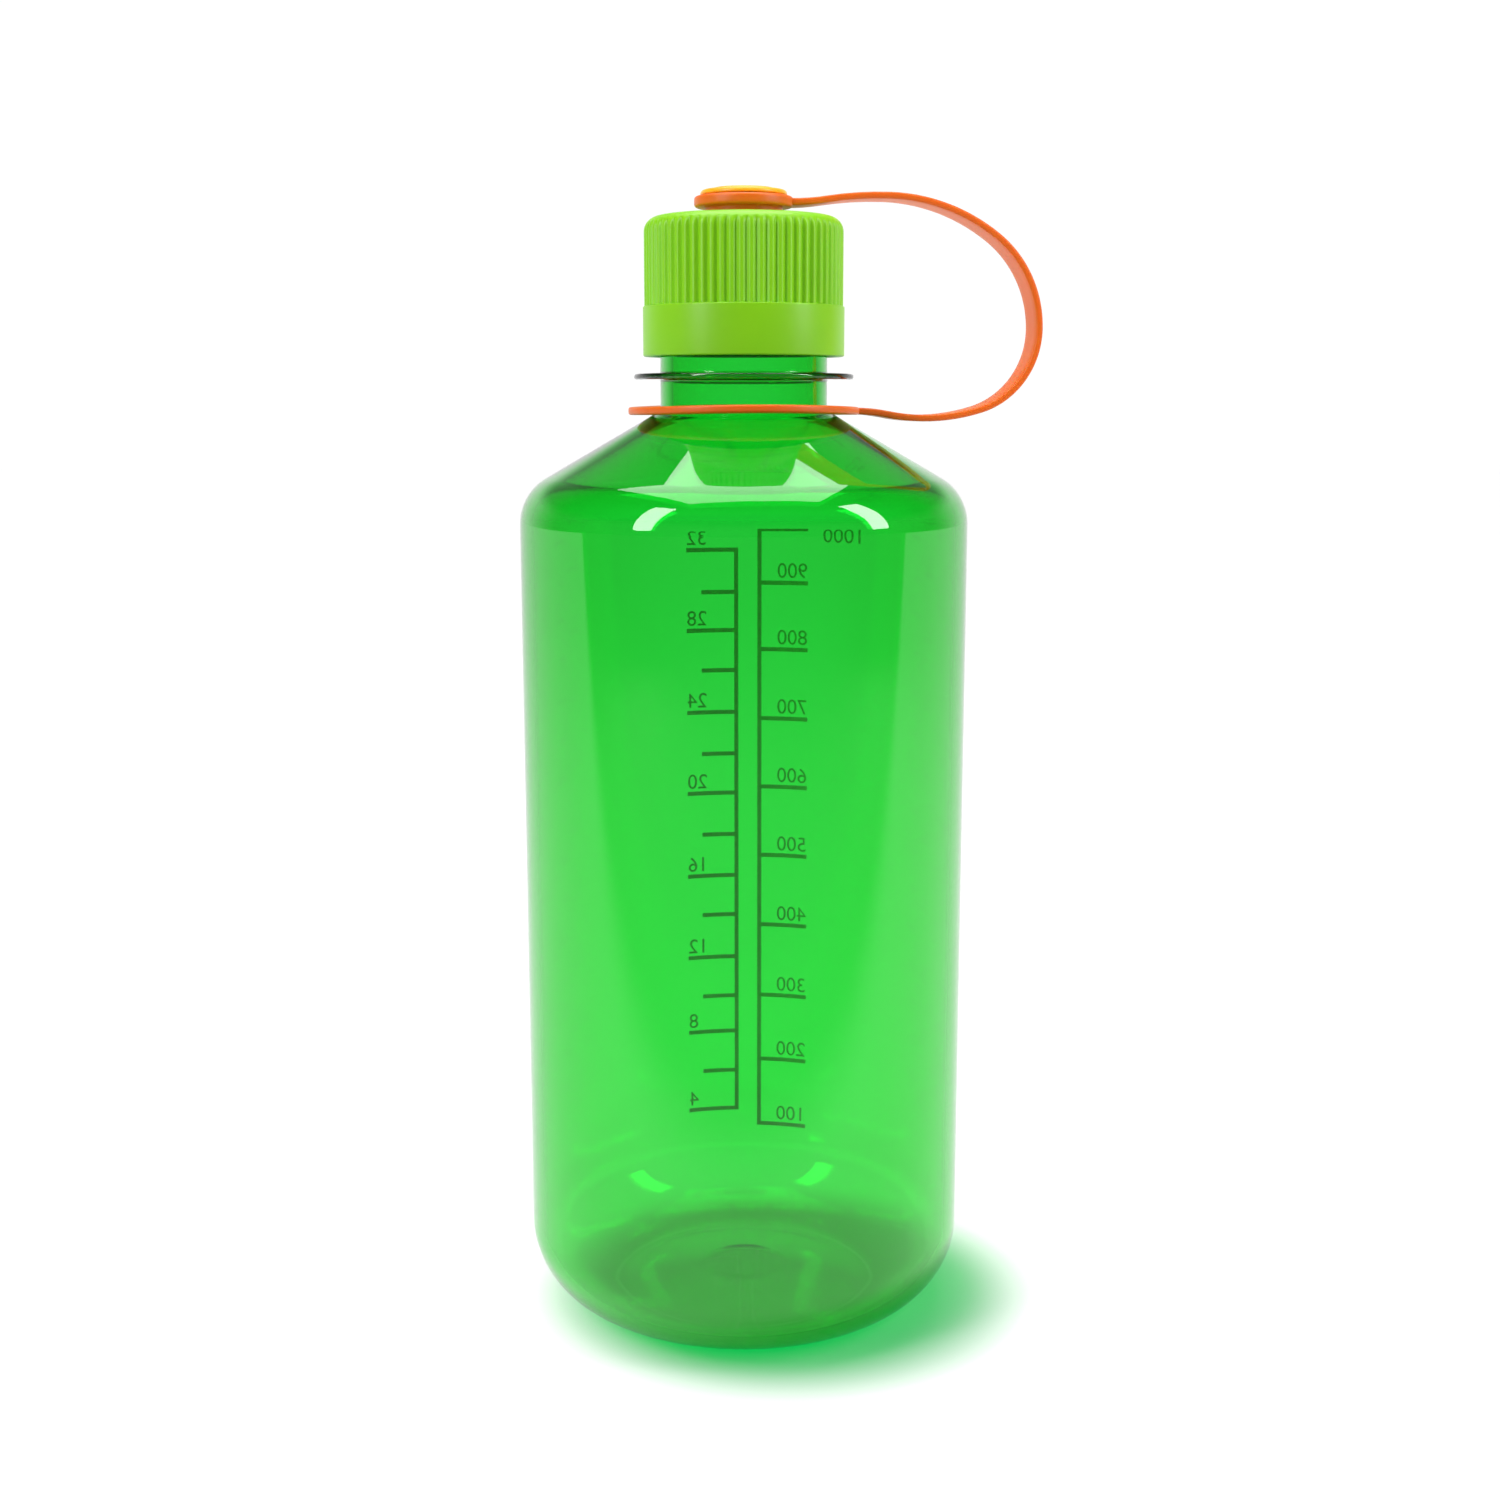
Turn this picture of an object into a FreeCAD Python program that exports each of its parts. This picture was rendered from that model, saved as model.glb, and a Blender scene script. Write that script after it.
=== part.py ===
"""One-litre drinking bottle with a screw cap that a tether loop keeps on the neck.

Millimetres, +Z up. The origin is the middle of the circle that the base stands on. The tether's loop lies
in the XZ plane, towards +X.
"""
import FreeCAD, Part
import math
import os
import Sketcher

# Alias, value and meaning of every driving dimension, in millimetres, degrees or turns.
DRIVING = [
    # bottle body
    ("body_radius", 47.0, "outside radius of the body"),
    ("wall", 2.6, "wall of body, shoulder and neck"),
    ("base_corner_radius", 17.9, "outside radius between base and body"),
    ("push_up_radius", 26.5, "radius of the rim of the hollow under the base"),
    ("push_up_height", 3.0, "height of that hollow in the middle"),
    ("push_up_flat", 8.0, "radius of the hollow's flat middle"),
    ("push_up_bend", 20.0, "rounding of the hollow's rim and middle"),
    ("shoulder_angle", 30.0, "slope of the shoulder"),
    ("shoulder_corner_radius", 11.0, "outside radius between body and shoulder"),
    ("shoulder_top", 193.7, "height where the shoulder meets the neck"),
    ("neck_root_radius", 2.0, "fillet between shoulder and neck"),
    # neck and its finish
    ("neck_radius", 17.4, "outside radius of the neck"),
    ("neck_tall", 36.8, "shoulder's top up to the lip"),
    ("lip_round", 0.8, "rounding of the lip's edges"),
    ("flange_width", 5.5, "how far the transfer flange stands out from the neck"),
    ("flange_rise", 6.3, "shoulder's top up to the flange's underside"),
    ("flange_thickness", 1.2, "thickness of the flange"),
    ("flange_edge_round", 0.5, "rounding of the flange's rim"),
    # thread
    ("thread_lead", 4.233, "rise of one turn, six turns to the inch"),
    ("thread_turns", 1.35, "turns on the neck"),
    ("thread_depth", 1.25, "how far the neck thread's crest stands out from the neck"),
    ("thread_root_width", 2.4, "width of the neck thread at its root"),
    ("thread_crest_width", 1.0, "width of the neck thread at its crest"),
    ("thread_start_depth", 8.7, "lip down to the middle of the neck thread's lower end"),
    ("thread_sink", 0.3, "how far a thread's root reaches into its wall"),
    ("thread_gap", 0.3, "radial gap between each thread and the wall it runs in"),
    ("thread_flank_gap", 0.35, "how far the cap's thread is above the middle of its groove"),
    ("cap_thread_root_width", 2.0, "width of the cap thread at its root"),
    ("cap_thread_tip_width", 0.8, "width of the cap thread at its tip"),
    # cap
    ("cap_above_lip", 2.4, "cap's top above the lip"),
    ("cap_flange_gap", 3.5, "flange's top up to the cap's open edge"),
    ("cap_top_thickness", 1.9, "thickness of the cap's top"),
    ("cap_wall", 1.65, "wall of the cap out to its grip ribs"),
    ("cap_corner_radius", 3.0, "rounding of the cap's top edge"),
    ("cap_edge_round", 0.4, "rounding of the cap's other edges"),
    ("band_proud", 0.3, "how far the smooth band stands out from the ribs"),
    ("band_tall", 10.2, "height of the smooth band"),
    ("flute_count", 64, "grip flutes round the cap"),
    ("flute_radius", 0.62, "radius of one flute"),
    ("flute_depth", 0.55, "depth of one flute"),
    ("lip_seal_gap", 0.2, "gap between the lip and the bead that seals on it"),
    ("seal_bead_width", 1.4, "width of that bead"),
    ("plug_gap", 0.3, "gap between the plug seal and the bore"),
    ("plug_thickness", 1.4, "wall of the plug seal"),
    ("plug_depth", 4.5, "depth of the plug seal below the lip"),
    ("post_radius", 4.5, "radius of the post on the cap"),
    ("post_bore_radius", 2.8, "radius of the socket in the post"),
    ("post_floor", 1.2, "plastic left under that socket, above the cap's inside"),
    # tether
    ("eye_radius", 10.2, "radius of the eye"),
    ("eye_thickness", 2.2, "thickness of the eye"),
    ("eye_edge_round", 0.6, "rounding of the eye's edges"),
    ("hub_radius", 8.0, "radius of the hub under the eye"),
    ("hub_tall", 1.7, "height of the hub"),
    ("swivel_gap", 0.2, "gap at each end of the eye, round the post and round the stem"),
    ("ring_slack", 2.2, "gap between the neck and the neck ring's inner edge"),
    ("ring_width", 4.5, "width of the neck ring"),
    ("ring_thickness", 1.6, "thickness of the neck ring"),
    ("ring_seat_gap", 0.35, "gap between the neck ring's inner edge and the shoulder"),
    ("strap_width", 8.0, "width of the strap"),
    ("strap_thickness", 1.4, "thickness of the strap"),
    ("strap_reach", 62.9, "axis to the strap's furthest point"),
    ("strap_middle_rise", 17.5, "height of that point above the neck ring"),
    ("strap_crest_rise", 1.6, "crest of the strap above its start in the eye"),
    ("strap_root_bend", 48.0, "radius where the strap leaves the eye"),
    ("strap_crest_bend", 77.0, "radius over the crest"),
    ("strap_shoulder_bend", 40.0, "radius after the crest"),
    ("strap_upper_bend", 23.5, "radius above the furthest point"),
    ("strap_lower_bend", 17.6, "radius below the furthest point"),
    ("strap_foot_bend", 42.0, "radius under the loop"),
    ("strap_end_bend", 35.0, "radius where the strap meets the ring"),
    ("strap_overlap", 1.2, "how far each end of the strap lies inside the eye or the ring"),
    # button
    ("button_radius", 9.05, "radius of the button's dome"),
    ("button_tall", 1.2, "height of the button's head"),
    ("button_edge_round", 0.7, "rounding of the dome's edge"),
    ("tier_radius", 6.4, "radius of the raised middle"),
    ("tier_tall", 0.3, "height of the raised middle"),
    ("tier_edge_round", 0.2, "rounding of its edge"),
    ("stem_length", 3.4, "length of the button's stem"),
]

# Alias, formula and meaning of every size that follows from the driving ones.
DERIVED = [
    ("shoulder_corner", "shoulder_top - (body_radius - neck_radius) * tan(shoulder_angle * 1 deg)",
     "height where body and shoulder would meet unrounded"),
    ("lip_height", "shoulder_top + neck_tall", "height of the lip"),
    ("bore_radius", "neck_radius - wall", "radius of the neck's bore"),
    ("flange_radius", "neck_radius + flange_width", "radius of the flange"),
    ("flange_height", "shoulder_top + flange_rise", "height of the flange's underside"),
    ("flange_top", "flange_height + flange_thickness", "height of the flange's top"),
    ("thread_radius", "neck_radius + thread_depth", "radius of the neck thread's crest"),
    ("thread_start", "lip_height - thread_start_depth", "height of the neck thread's lower end"),
    ("thread_root", "neck_radius - thread_sink", "radius of the neck thread's root"),
    ("thread_root_low", "thread_start - thread_root_width / 2", "neck thread's root, lower edge"),
    ("thread_root_high", "thread_start + thread_root_width / 2", "neck thread's root, upper edge"),
    ("thread_crest_low", "thread_start - thread_crest_width / 2", "neck thread's crest, lower edge"),
    ("thread_crest_high", "thread_start + thread_crest_width / 2", "neck thread's crest, upper edge"),
    ("cap_bore", "thread_radius + thread_gap", "inside radius of the cap"),
    ("cap_thread_root", "cap_bore + thread_sink", "radius of the cap thread's root"),
    ("cap_thread_tip", "neck_radius + thread_gap", "inside radius of the cap's thread"),
    ("cap_thread_start", "thread_start - thread_lead / 4 + thread_flank_gap",
     "height of the cap thread's lower end, a quarter turn on and half a lead below the neck's"),
    ("cap_thread_root_low", "cap_thread_start - cap_thread_root_width / 2", "its root's lower edge"),
    ("cap_thread_root_high", "cap_thread_start + cap_thread_root_width / 2", "its root's upper edge"),
    ("cap_thread_tip_low", "cap_thread_start - cap_thread_tip_width / 2", "its tip's lower edge"),
    ("cap_thread_tip_high", "cap_thread_start + cap_thread_tip_width / 2", "its tip's upper edge"),
    ("cap_thread_turns", "thread_turns - 0.25", "turns of the cap's thread"),
    ("cap_radius", "cap_bore + cap_wall", "radius over the grip ribs"),
    ("band_radius", "cap_radius + band_proud", "radius of the smooth band"),
    ("flute_middle", "cap_radius - flute_depth + flute_radius", "radius of the flutes' middles"),
    ("cap_top", "lip_height + cap_above_lip", "height of the cap's top"),
    ("cap_bottom", "flange_top + cap_flange_gap", "height of the cap's open edge"),
    ("cap_tall", "cap_top - cap_bottom", "height of the cap"),
    ("cap_ceiling", "cap_top - cap_top_thickness", "height of the cap's inside"),
    ("band_top", "cap_bottom + band_tall", "height of the smooth band's top"),
    ("bead_bottom", "lip_height + lip_seal_gap", "height of the sealing bead's face"),
    ("bead_outer", "neck_radius - lip_round", "outer radius of the sealing bead"),
    ("bead_inner", "bead_outer - seal_bead_width", "inner radius of the sealing bead"),
    ("plug_outer", "bore_radius - plug_gap", "outer radius of the plug seal"),
    ("plug_inner", "plug_outer - plug_thickness", "inner radius of the plug seal"),
    ("plug_bottom", "lip_height - plug_depth", "height of the plug seal's edge"),
    ("post_bore_bottom", "cap_ceiling + post_floor", "height of the socket's floor"),
    ("hub_bottom", "cap_top + swivel_gap", "height of the hub's face"),
    ("eye_bottom", "hub_bottom + hub_tall", "height of the eye's underside"),
    ("eye_top", "eye_bottom + eye_thickness", "height of the eye's top"),
    ("eye_bore", "post_radius + swivel_gap", "radius of the hole in the eye"),
    ("post_top", "eye_top + swivel_gap / 2", "height of the post's top"),
    ("button_bottom", "eye_top + swivel_gap", "height of the button's underside"),
    ("button_top", "button_bottom + button_tall", "height of the dome's shoulder"),
    ("tier_top", "button_top + tier_tall", "height of the whole object"),
    ("stem_radius", "post_bore_radius - swivel_gap", "radius of the button's stem"),
    ("stem_bottom", "button_bottom - stem_length", "height of the stem's end"),
    ("ring_inner_radius", "neck_radius + ring_slack", "inner radius of the neck ring"),
    ("ring_outer_radius", "ring_inner_radius + ring_width", "outer radius of the neck ring"),
    ("ring_bottom", "shoulder_top - (ring_inner_radius - neck_radius) * tan(shoulder_angle * 1 deg)"
     " + ring_seat_gap", "height of the neck ring's underside"),
    ("ring_top", "ring_bottom + ring_thickness", "height of the neck ring's top"),
    ("strap_start_x", "eye_radius - strap_overlap", "where the strap starts in the eye"),
    ("strap_start_z", "eye_bottom + eye_thickness / 2", "height where the strap starts"),
    ("strap_end_x", "ring_outer_radius - strap_overlap", "where the strap ends in the ring"),
    ("strap_end_z", "ring_bottom + ring_thickness / 2", "height where the strap ends"),
    ("strap_middle_z", "strap_end_z + strap_middle_rise", "height of the strap's furthest point"),
    ("strap_crest_centre", "strap_start_z + strap_crest_rise - strap_crest_bend",
     "height of the middle of the bend over the crest"),
    ("strap_half_width", "strap_width / 2", "half the strap's width"),
    ("strap_low", "strap_start_z - strap_thickness / 2", "underside of the strap where it starts"),
    ("strap_high", "strap_start_z + strap_thickness / 2", "top of the strap where it starts"),
]

document = FreeCAD.newDocument("drinking_bottle")
sheet = document.addObject("Spreadsheet::Sheet", "sizes")
for row, (alias, content, meaning) in enumerate(DRIVING + DERIVED, start=1):
    sheet.set(f"A{row}", meaning)
    sheet.set(f"B{row}", f"={content}" if isinstance(content, str) else str(content))
    sheet.setAlias(f"B{row}", alias)
    document.recompute()

ORIGIN = (-1, 1)  # a sketch's own origin, as a geometry number and a point of it


def value(alias):
    """A size's present value as a plain number, with a minus where the alias has one before it."""
    if alias == "0":
        return 0.0
    if alias.startswith("-"):
        return -value(alias[1:])
    return float(sheet.get(alias))


def bind(target, path, alias):
    """Makes a property or a sketch constraint follow a size."""
    if alias != "0":
        sign = "-" if alias.startswith("-") else ""
        target.setExpression(path, f"{sign}sizes.{alias.lstrip('-')}")


def new_body(label):
    body = document.addObject("PartDesign::Body", label)
    body.Label = label
    return body


def new_sketch(body, name, plane):
    """An empty sketch on one of the body's own origin planes."""
    sketch = body.newObject("Sketcher::SketchObject", name)
    planes = [feature for feature in body.Origin.OriginFeatures if feature.Role == plane]
    sketch.AttachmentSupport = [(planes[0], "")]
    sketch.MapMode = "FlatFace"
    return sketch


def place_point(sketch, geometry, point, x, y):
    """Ties one point of a sketch's geometry to two sizes, measured from the sketch's origin."""
    for kind, alias in (("DistanceX", x), ("DistanceY", y)):
        number = sketch.addConstraint(Sketcher.Constraint(kind, *ORIGIN, geometry, point, value(alias)))
        bind(sketch, f"Constraints[{number}]", alias)


def outline(body, name, corners, plane="XZ_Plane"):
    """A closed sketch of straight lines through corners given as pairs of sizes."""
    sketch = new_sketch(body, name, plane)
    points = [FreeCAD.Vector(value(x), value(y), 0) for x, y in corners]
    for number, start in enumerate(points):
        sketch.addGeometry(Part.LineSegment(start, points[(number + 1) % len(points)]))
    for number, (x, y) in enumerate(corners):
        following = (number + 1) % len(corners)
        sketch.addConstraint(Sketcher.Constraint("Coincident", number, 2, following, 1))
        place_point(sketch, number, 1, x, y)
    return sketch


def turned(body, name, corners):
    """A solid of revolution about Z, added to the body."""
    sketch = outline(body, f"{name}_outline", corners)
    feature = body.newObject("PartDesign::Revolution", name)
    feature.Profile = sketch
    feature.ReferenceAxis = (sketch, ["V_Axis"])
    document.recompute()
    return feature


def thread(body, name, profile, turns):
    """A right-hand ridge round Z."""
    feature = body.newObject("PartDesign::AdditiveHelix", name)
    feature.Profile = profile
    feature.ReferenceAxis = (profile, ["V_Axis"])
    feature.Mode = "pitch-turns-angle"
    bind(feature, "Pitch", "thread_lead")
    bind(feature, "Turns", turns)
    document.recompute()
    return feature


def circles(shape, radius, height):
    """Names of the circular edges about Z with this radius and height."""
    found = []
    for number, edge in enumerate(shape.Edges, start=1):
        curve = edge.Curve
        if not isinstance(curve, Part.Circle):
            continue
        on_axis = math.hypot(curve.Center.x, curve.Center.y) < 1e-4
        if on_axis and abs(curve.Radius - radius) < 1e-3 and abs(curve.Center.z - height) < 1e-3:
            found.append(f"Edge{number}")
    return found


def rounded(body, name, places, radius):
    """Rounds the body's circular edges at the given pairs of radius and height."""
    base = body.Tip
    edges = [edge for r, z in places for edge in circles(base.Shape, value(r), value(z))]
    if len(edges) < len(places):
        raise RuntimeError(f"{name} finds {len(edges)} of {len(places)} edges")
    feature = body.newObject("PartDesign::Fillet", name)
    feature.Base = (base, edges)
    bind(feature, "Radius", radius)
    document.recompute()
    return feature


def make_bottle():
    """Body, shoulder and neck as one shell of even wall, with the flange and the thread on the neck."""
    body = new_body("bottle")
    turned(body, "envelope", [
        ("0", "push_up_height"),
        ("push_up_flat", "push_up_height"),
        ("push_up_radius", "0"),
        ("body_radius", "0"),
        ("body_radius", "shoulder_corner"),
        ("neck_radius", "shoulder_top"),
        ("neck_radius", "lip_height"),
        ("0", "lip_height"),
    ])
    rounded(body, "base_corner", [("body_radius", "0")], "base_corner_radius")
    rounded(body, "shoulder_round", [("body_radius", "shoulder_corner")], "shoulder_corner_radius")
    rounded(body, "neck_root", [("neck_radius", "shoulder_top")], "neck_root_radius")
    rounded(body, "push_up_bends", [("push_up_radius", "0"), ("push_up_flat", "push_up_height")],
            "push_up_bend")

    solid = body.Tip
    mouth = [f"Face{number}" for number, face in enumerate(solid.Shape.Faces, start=1)
             if abs(face.CenterOfMass.z - value("lip_height")) < 1e-3]
    hollow = body.newObject("PartDesign::Thickness", "hollow")
    hollow.Base = (solid, mouth)
    hollow.Reversed = True
    bind(hollow, "Value", "wall")
    document.recompute()

    turned(body, "flange", [
        ("neck_radius", "flange_height"),
        ("flange_radius", "flange_height"),
        ("flange_radius", "flange_top"),
        ("neck_radius", "flange_top"),
    ])
    rounded(body, "flange_edge", [("flange_radius", "flange_height"), ("flange_radius", "flange_top")],
            "flange_edge_round")
    rounded(body, "lip", [("neck_radius", "lip_height"), ("bore_radius", "lip_height")], "lip_round")

    ridge = outline(body, "thread_profile", [
        ("thread_root", "thread_root_low"),
        ("thread_radius", "thread_crest_low"),
        ("thread_radius", "thread_crest_high"),
        ("thread_root", "thread_root_high"),
    ])
    thread(body, "neck_thread", ridge, "thread_turns")
    return body


def make_cap():
    """Ribbed shell with its internal thread, plug seal and lip bead, and the post for the tether on top."""
    body = new_body("cap")
    turned(body, "shell", [
        ("post_bore_radius", "post_bore_bottom"),
        ("post_bore_radius", "post_top"),
        ("post_radius", "post_top"),
        ("post_radius", "cap_top"),
        ("cap_radius", "cap_top"),
        ("cap_radius", "band_top"),
        ("band_radius", "band_top"),
        ("band_radius", "cap_bottom"),
        ("cap_bore", "cap_bottom"),
        ("cap_bore", "cap_ceiling"),
        ("bead_outer", "cap_ceiling"),
        ("bead_outer", "bead_bottom"),
        ("bead_inner", "bead_bottom"),
        ("bead_inner", "cap_ceiling"),
        ("plug_outer", "cap_ceiling"),
        ("plug_outer", "plug_bottom"),
        ("plug_inner", "plug_bottom"),
        ("plug_inner", "cap_ceiling"),
        ("0", "cap_ceiling"),
        ("0", "post_bore_bottom"),
    ])
    rounded(body, "top_round", [("cap_radius", "cap_top")], "cap_corner_radius")
    rounded(body, "edges", [("band_radius", "cap_bottom"), ("cap_bore", "cap_bottom"),
                            ("plug_outer", "plug_bottom"), ("post_radius", "post_top")], "cap_edge_round")

    section = new_sketch(body, "flute_section", "XY_Plane")
    bind(section, "AttachmentOffset.Base.z", "band_top")
    section.addGeometry(Part.Circle(FreeCAD.Vector(value("flute_middle"), 0, 0), FreeCAD.Vector(0, 0, 1),
                                    value("flute_radius")))
    place_point(section, 0, 3, "flute_middle", "0")
    number = section.addConstraint(Sketcher.Constraint("Radius", 0, value("flute_radius")))
    bind(section, f"Constraints[{number}]", "flute_radius")
    flute = body.newObject("PartDesign::Pocket", "flute")
    flute.Profile = section
    flute.Reversed = True
    bind(flute, "Length", "cap_tall")
    document.recompute()
    flutes = body.newObject("PartDesign::PolarPattern", "flutes")
    flutes.Originals = [flute]
    flutes.Axis = (section, ["N_Axis"])
    flutes.Angle = 360
    bind(flutes, "Occurrences", "flute_count")
    body.Tip = flutes
    document.recompute()

    ridge = outline(body, "thread_profile", [
        ("cap_thread_root", "cap_thread_root_low"),
        ("cap_thread_tip", "cap_thread_tip_low"),
        ("cap_thread_tip", "cap_thread_tip_high"),
        ("cap_thread_root", "cap_thread_root_high"),
    ], plane="YZ_Plane")
    thread(body, "cap_thread", ridge, "cap_thread_turns")
    return body


def make_tether():
    """Eye with its hub, strap and neck ring, one flexible moulding."""
    body = new_body("tether")
    turned(body, "eye", [
        ("eye_bore", "hub_bottom"),
        ("hub_radius", "hub_bottom"),
        ("hub_radius", "eye_bottom"),
        ("eye_radius", "eye_bottom"),
        ("eye_radius", "eye_top"),
        ("eye_bore", "eye_top"),
    ])
    rounded(body, "eye_edges", [("eye_radius", "eye_bottom"), ("eye_radius", "eye_top")], "eye_edge_round")

    path = strap_path(body)
    section = outline(body, "strap_section", [
        ("-strap_half_width", "strap_low"),
        ("strap_half_width", "strap_low"),
        ("strap_half_width", "strap_high"),
        ("-strap_half_width", "strap_high"),
    ], plane="YZ_Plane")
    bind(section, "AttachmentOffset.Base.z", "strap_start_x")
    strap = body.newObject("PartDesign::AdditivePipe", "strap")
    strap.Profile = section
    strap.Spine = path
    document.recompute()

    turned(body, "neck_ring", [
        ("ring_inner_radius", "ring_bottom"),
        ("ring_outer_radius", "ring_bottom"),
        ("ring_outer_radius", "ring_top"),
        ("ring_inner_radius", "ring_top"),
    ])
    return body


def strap_path(body):
    """Middle line of the strap: tangent arcs from the eye over the crest, round the loop and into the ring.

    The turns only start the arcs off. The radii, the two ends, the crest and the furthest point fix them.
    """
    bends = [
        ("strap_root_bend", 9.2),
        ("strap_crest_bend", -10.0),
        ("strap_shoulder_bend", -36.0),
        ("strap_upper_bend", -53.2),
        ("strap_lower_bend", -73.3),
        ("strap_foot_bend", -28.0),
        ("strap_end_bend", 11.3),
    ]
    sketch = new_sketch(body, "strap_path", "XZ_Plane")
    at = FreeCAD.Vector(value("strap_start_x"), value("strap_start_z"), 0)
    heading = 0.0
    for number, (bend, turn) in enumerate(bends):
        radius = value(bend)
        side = 90.0 if turn > 0 else -90.0
        centre = at + radius * direction(heading + side)
        middle = centre - radius * direction(heading + turn / 2 + side)
        end = centre - radius * direction(heading + turn + side)
        sketch.addGeometry(Part.Arc(at, middle, end))
        at = end
        heading += turn
    last = len(bends) - 1
    # an arc's point 1 is where it starts anticlockwise, so the left turns start at 1 and the right turns at 2
    first_point = [1 if turn > 0 else 2 for _, turn in bends]
    for number, (bend, _) in enumerate(bends):
        held = sketch.addConstraint(Sketcher.Constraint("Radius", number, value(bend)))
        bind(sketch, f"Constraints[{held}]", bend)
        if number < last:
            sketch.addConstraint(Sketcher.Constraint("Tangent", number, 3 - first_point[number],
                                                     number + 1, first_point[number + 1]))
    place_point(sketch, 0, 1, "strap_start_x", "strap_start_z")
    place_point(sketch, last, 2, "strap_end_x", "strap_end_z")
    sketch.addConstraint(Sketcher.Constraint("Vertical", 0, 1, 0, 3))
    sketch.addConstraint(Sketcher.Constraint("Vertical", last, 2, last, 3))

    crest, upper = 1, 3
    centre_z = value("strap_crest_centre")
    held = sketch.addConstraint(Sketcher.Constraint("DistanceY", *ORIGIN, crest, 3, centre_z))
    bind(sketch, f"Constraints[{held}]", "strap_crest_centre")
    place_point(sketch, upper, 1, "strap_reach", "strap_middle_z")
    sketch.addConstraint(Sketcher.Constraint("Horizontal", upper, 1, upper, 3))
    document.recompute()
    if sketch.solve() != 0:
        raise RuntimeError("the strap's arcs don't close")
    return sketch


def direction(degrees):
    return FreeCAD.Vector(math.cos(math.radians(degrees)), math.sin(math.radians(degrees)), 0)


def make_button():
    """Domed button with a raised middle, whose stem snaps into the cap's post."""
    body = new_body("tether_button")
    turned(body, "head", [
        ("0", "stem_bottom"),
        ("stem_radius", "stem_bottom"),
        ("stem_radius", "button_bottom"),
        ("button_radius", "button_bottom"),
        ("button_radius", "button_top"),
        ("tier_radius", "button_top"),
        ("tier_radius", "tier_top"),
        ("0", "tier_top"),
    ])
    rounded(body, "dome_edge", [("button_radius", "button_top")], "button_edge_round")
    rounded(body, "tier_edge", [("tier_radius", "tier_top")], "tier_edge_round")
    return body


for make in (make_bottle, make_cap, make_tether, make_button):
    make()

document.recompute()
for item in document.Objects:
    if "Invalid" in item.State or "Error" in item.State:
        raise RuntimeError(f"{item.Label} has failed: {item.State}")
os.makedirs("parts", exist_ok=True)
for body in document.findObjects("PartDesign::Body"):
    shape = body.Shape
    if shape.isNull() or not shape.isValid() or len(shape.Solids) != 1:
        raise RuntimeError(f"{body.Label} isn't one sound solid")
    shape.exportStep(f"parts/{body.Label}.step")
    print(f"{body.Label}: {shape.Volume / 1000:.1f} cm3")
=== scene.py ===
"""Clear one-litre drinking bottle with a ribbed screw cap and a tether loop. Metres, +Z up."""
import math

import bmesh
import bpy
from mathutils import Matrix, Vector


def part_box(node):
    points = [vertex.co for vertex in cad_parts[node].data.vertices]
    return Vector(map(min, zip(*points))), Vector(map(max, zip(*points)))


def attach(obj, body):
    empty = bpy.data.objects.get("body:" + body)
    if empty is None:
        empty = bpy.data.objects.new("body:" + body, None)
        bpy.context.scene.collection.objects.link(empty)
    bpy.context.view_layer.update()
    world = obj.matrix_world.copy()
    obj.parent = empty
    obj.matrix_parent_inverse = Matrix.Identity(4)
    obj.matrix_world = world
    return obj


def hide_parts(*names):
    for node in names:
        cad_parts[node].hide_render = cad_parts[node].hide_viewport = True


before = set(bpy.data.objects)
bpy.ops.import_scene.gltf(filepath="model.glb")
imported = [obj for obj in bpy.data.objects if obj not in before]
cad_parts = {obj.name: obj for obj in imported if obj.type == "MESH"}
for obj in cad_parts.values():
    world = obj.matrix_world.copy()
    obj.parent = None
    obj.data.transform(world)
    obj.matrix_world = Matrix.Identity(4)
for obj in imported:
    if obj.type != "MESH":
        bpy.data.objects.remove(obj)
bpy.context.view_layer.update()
MM = 0.001

# ---------------------------------------------------------------- the view

CAMERA_TURN = 10.0        # degrees that the camera stands round from the side of the loop's plane
CAMERA_AIM = 0.174        # degrees that it aims to the right of the bottle's axis
CAMERA_DISTANCE = 0.427   # level distance to the axis
CAMERA_HEIGHT = 0.1954
CAMERA_PITCH = 9.805      # degrees downwards
CAMERA_LENS = 48.3        # millimetres on a sensor 36 mm wide

# ---------------------------------------------------------------- sizes, with those of the frame first

BOTTLE_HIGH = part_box("bottle")[1]
CAP_LOW, CAP_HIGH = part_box("cap")
BUTTON_LOW, BUTTON_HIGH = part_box("tether_button")
TETHER_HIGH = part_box("tether")[1]

BODY_R = BOTTLE_HIGH.y
LIP_Z = BOTTLE_HIGH.z
WALL = 2.6 * MM
PUSH_UP = 3.0 * MM
NECK_R = 17.4 * MM
SHOULDER_TOP = 193.7 * MM
SHOULDER_SLOPE = math.tan(math.radians(30))
FLANGE_R = 22.9 * MM
FLANGE_Z = 200.0 * MM
FLANGE_THICK = 1.2 * MM
THREAD_LEAD = 4.233 * MM
THREAD_TURNS = 1.35
THREAD_Z = LIP_Z - 8.7 * MM
THREAD_R = 18.65 * MM
THREAD_SINK = 0.3 * MM        # how far a ridge's root reaches into its wall

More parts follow.
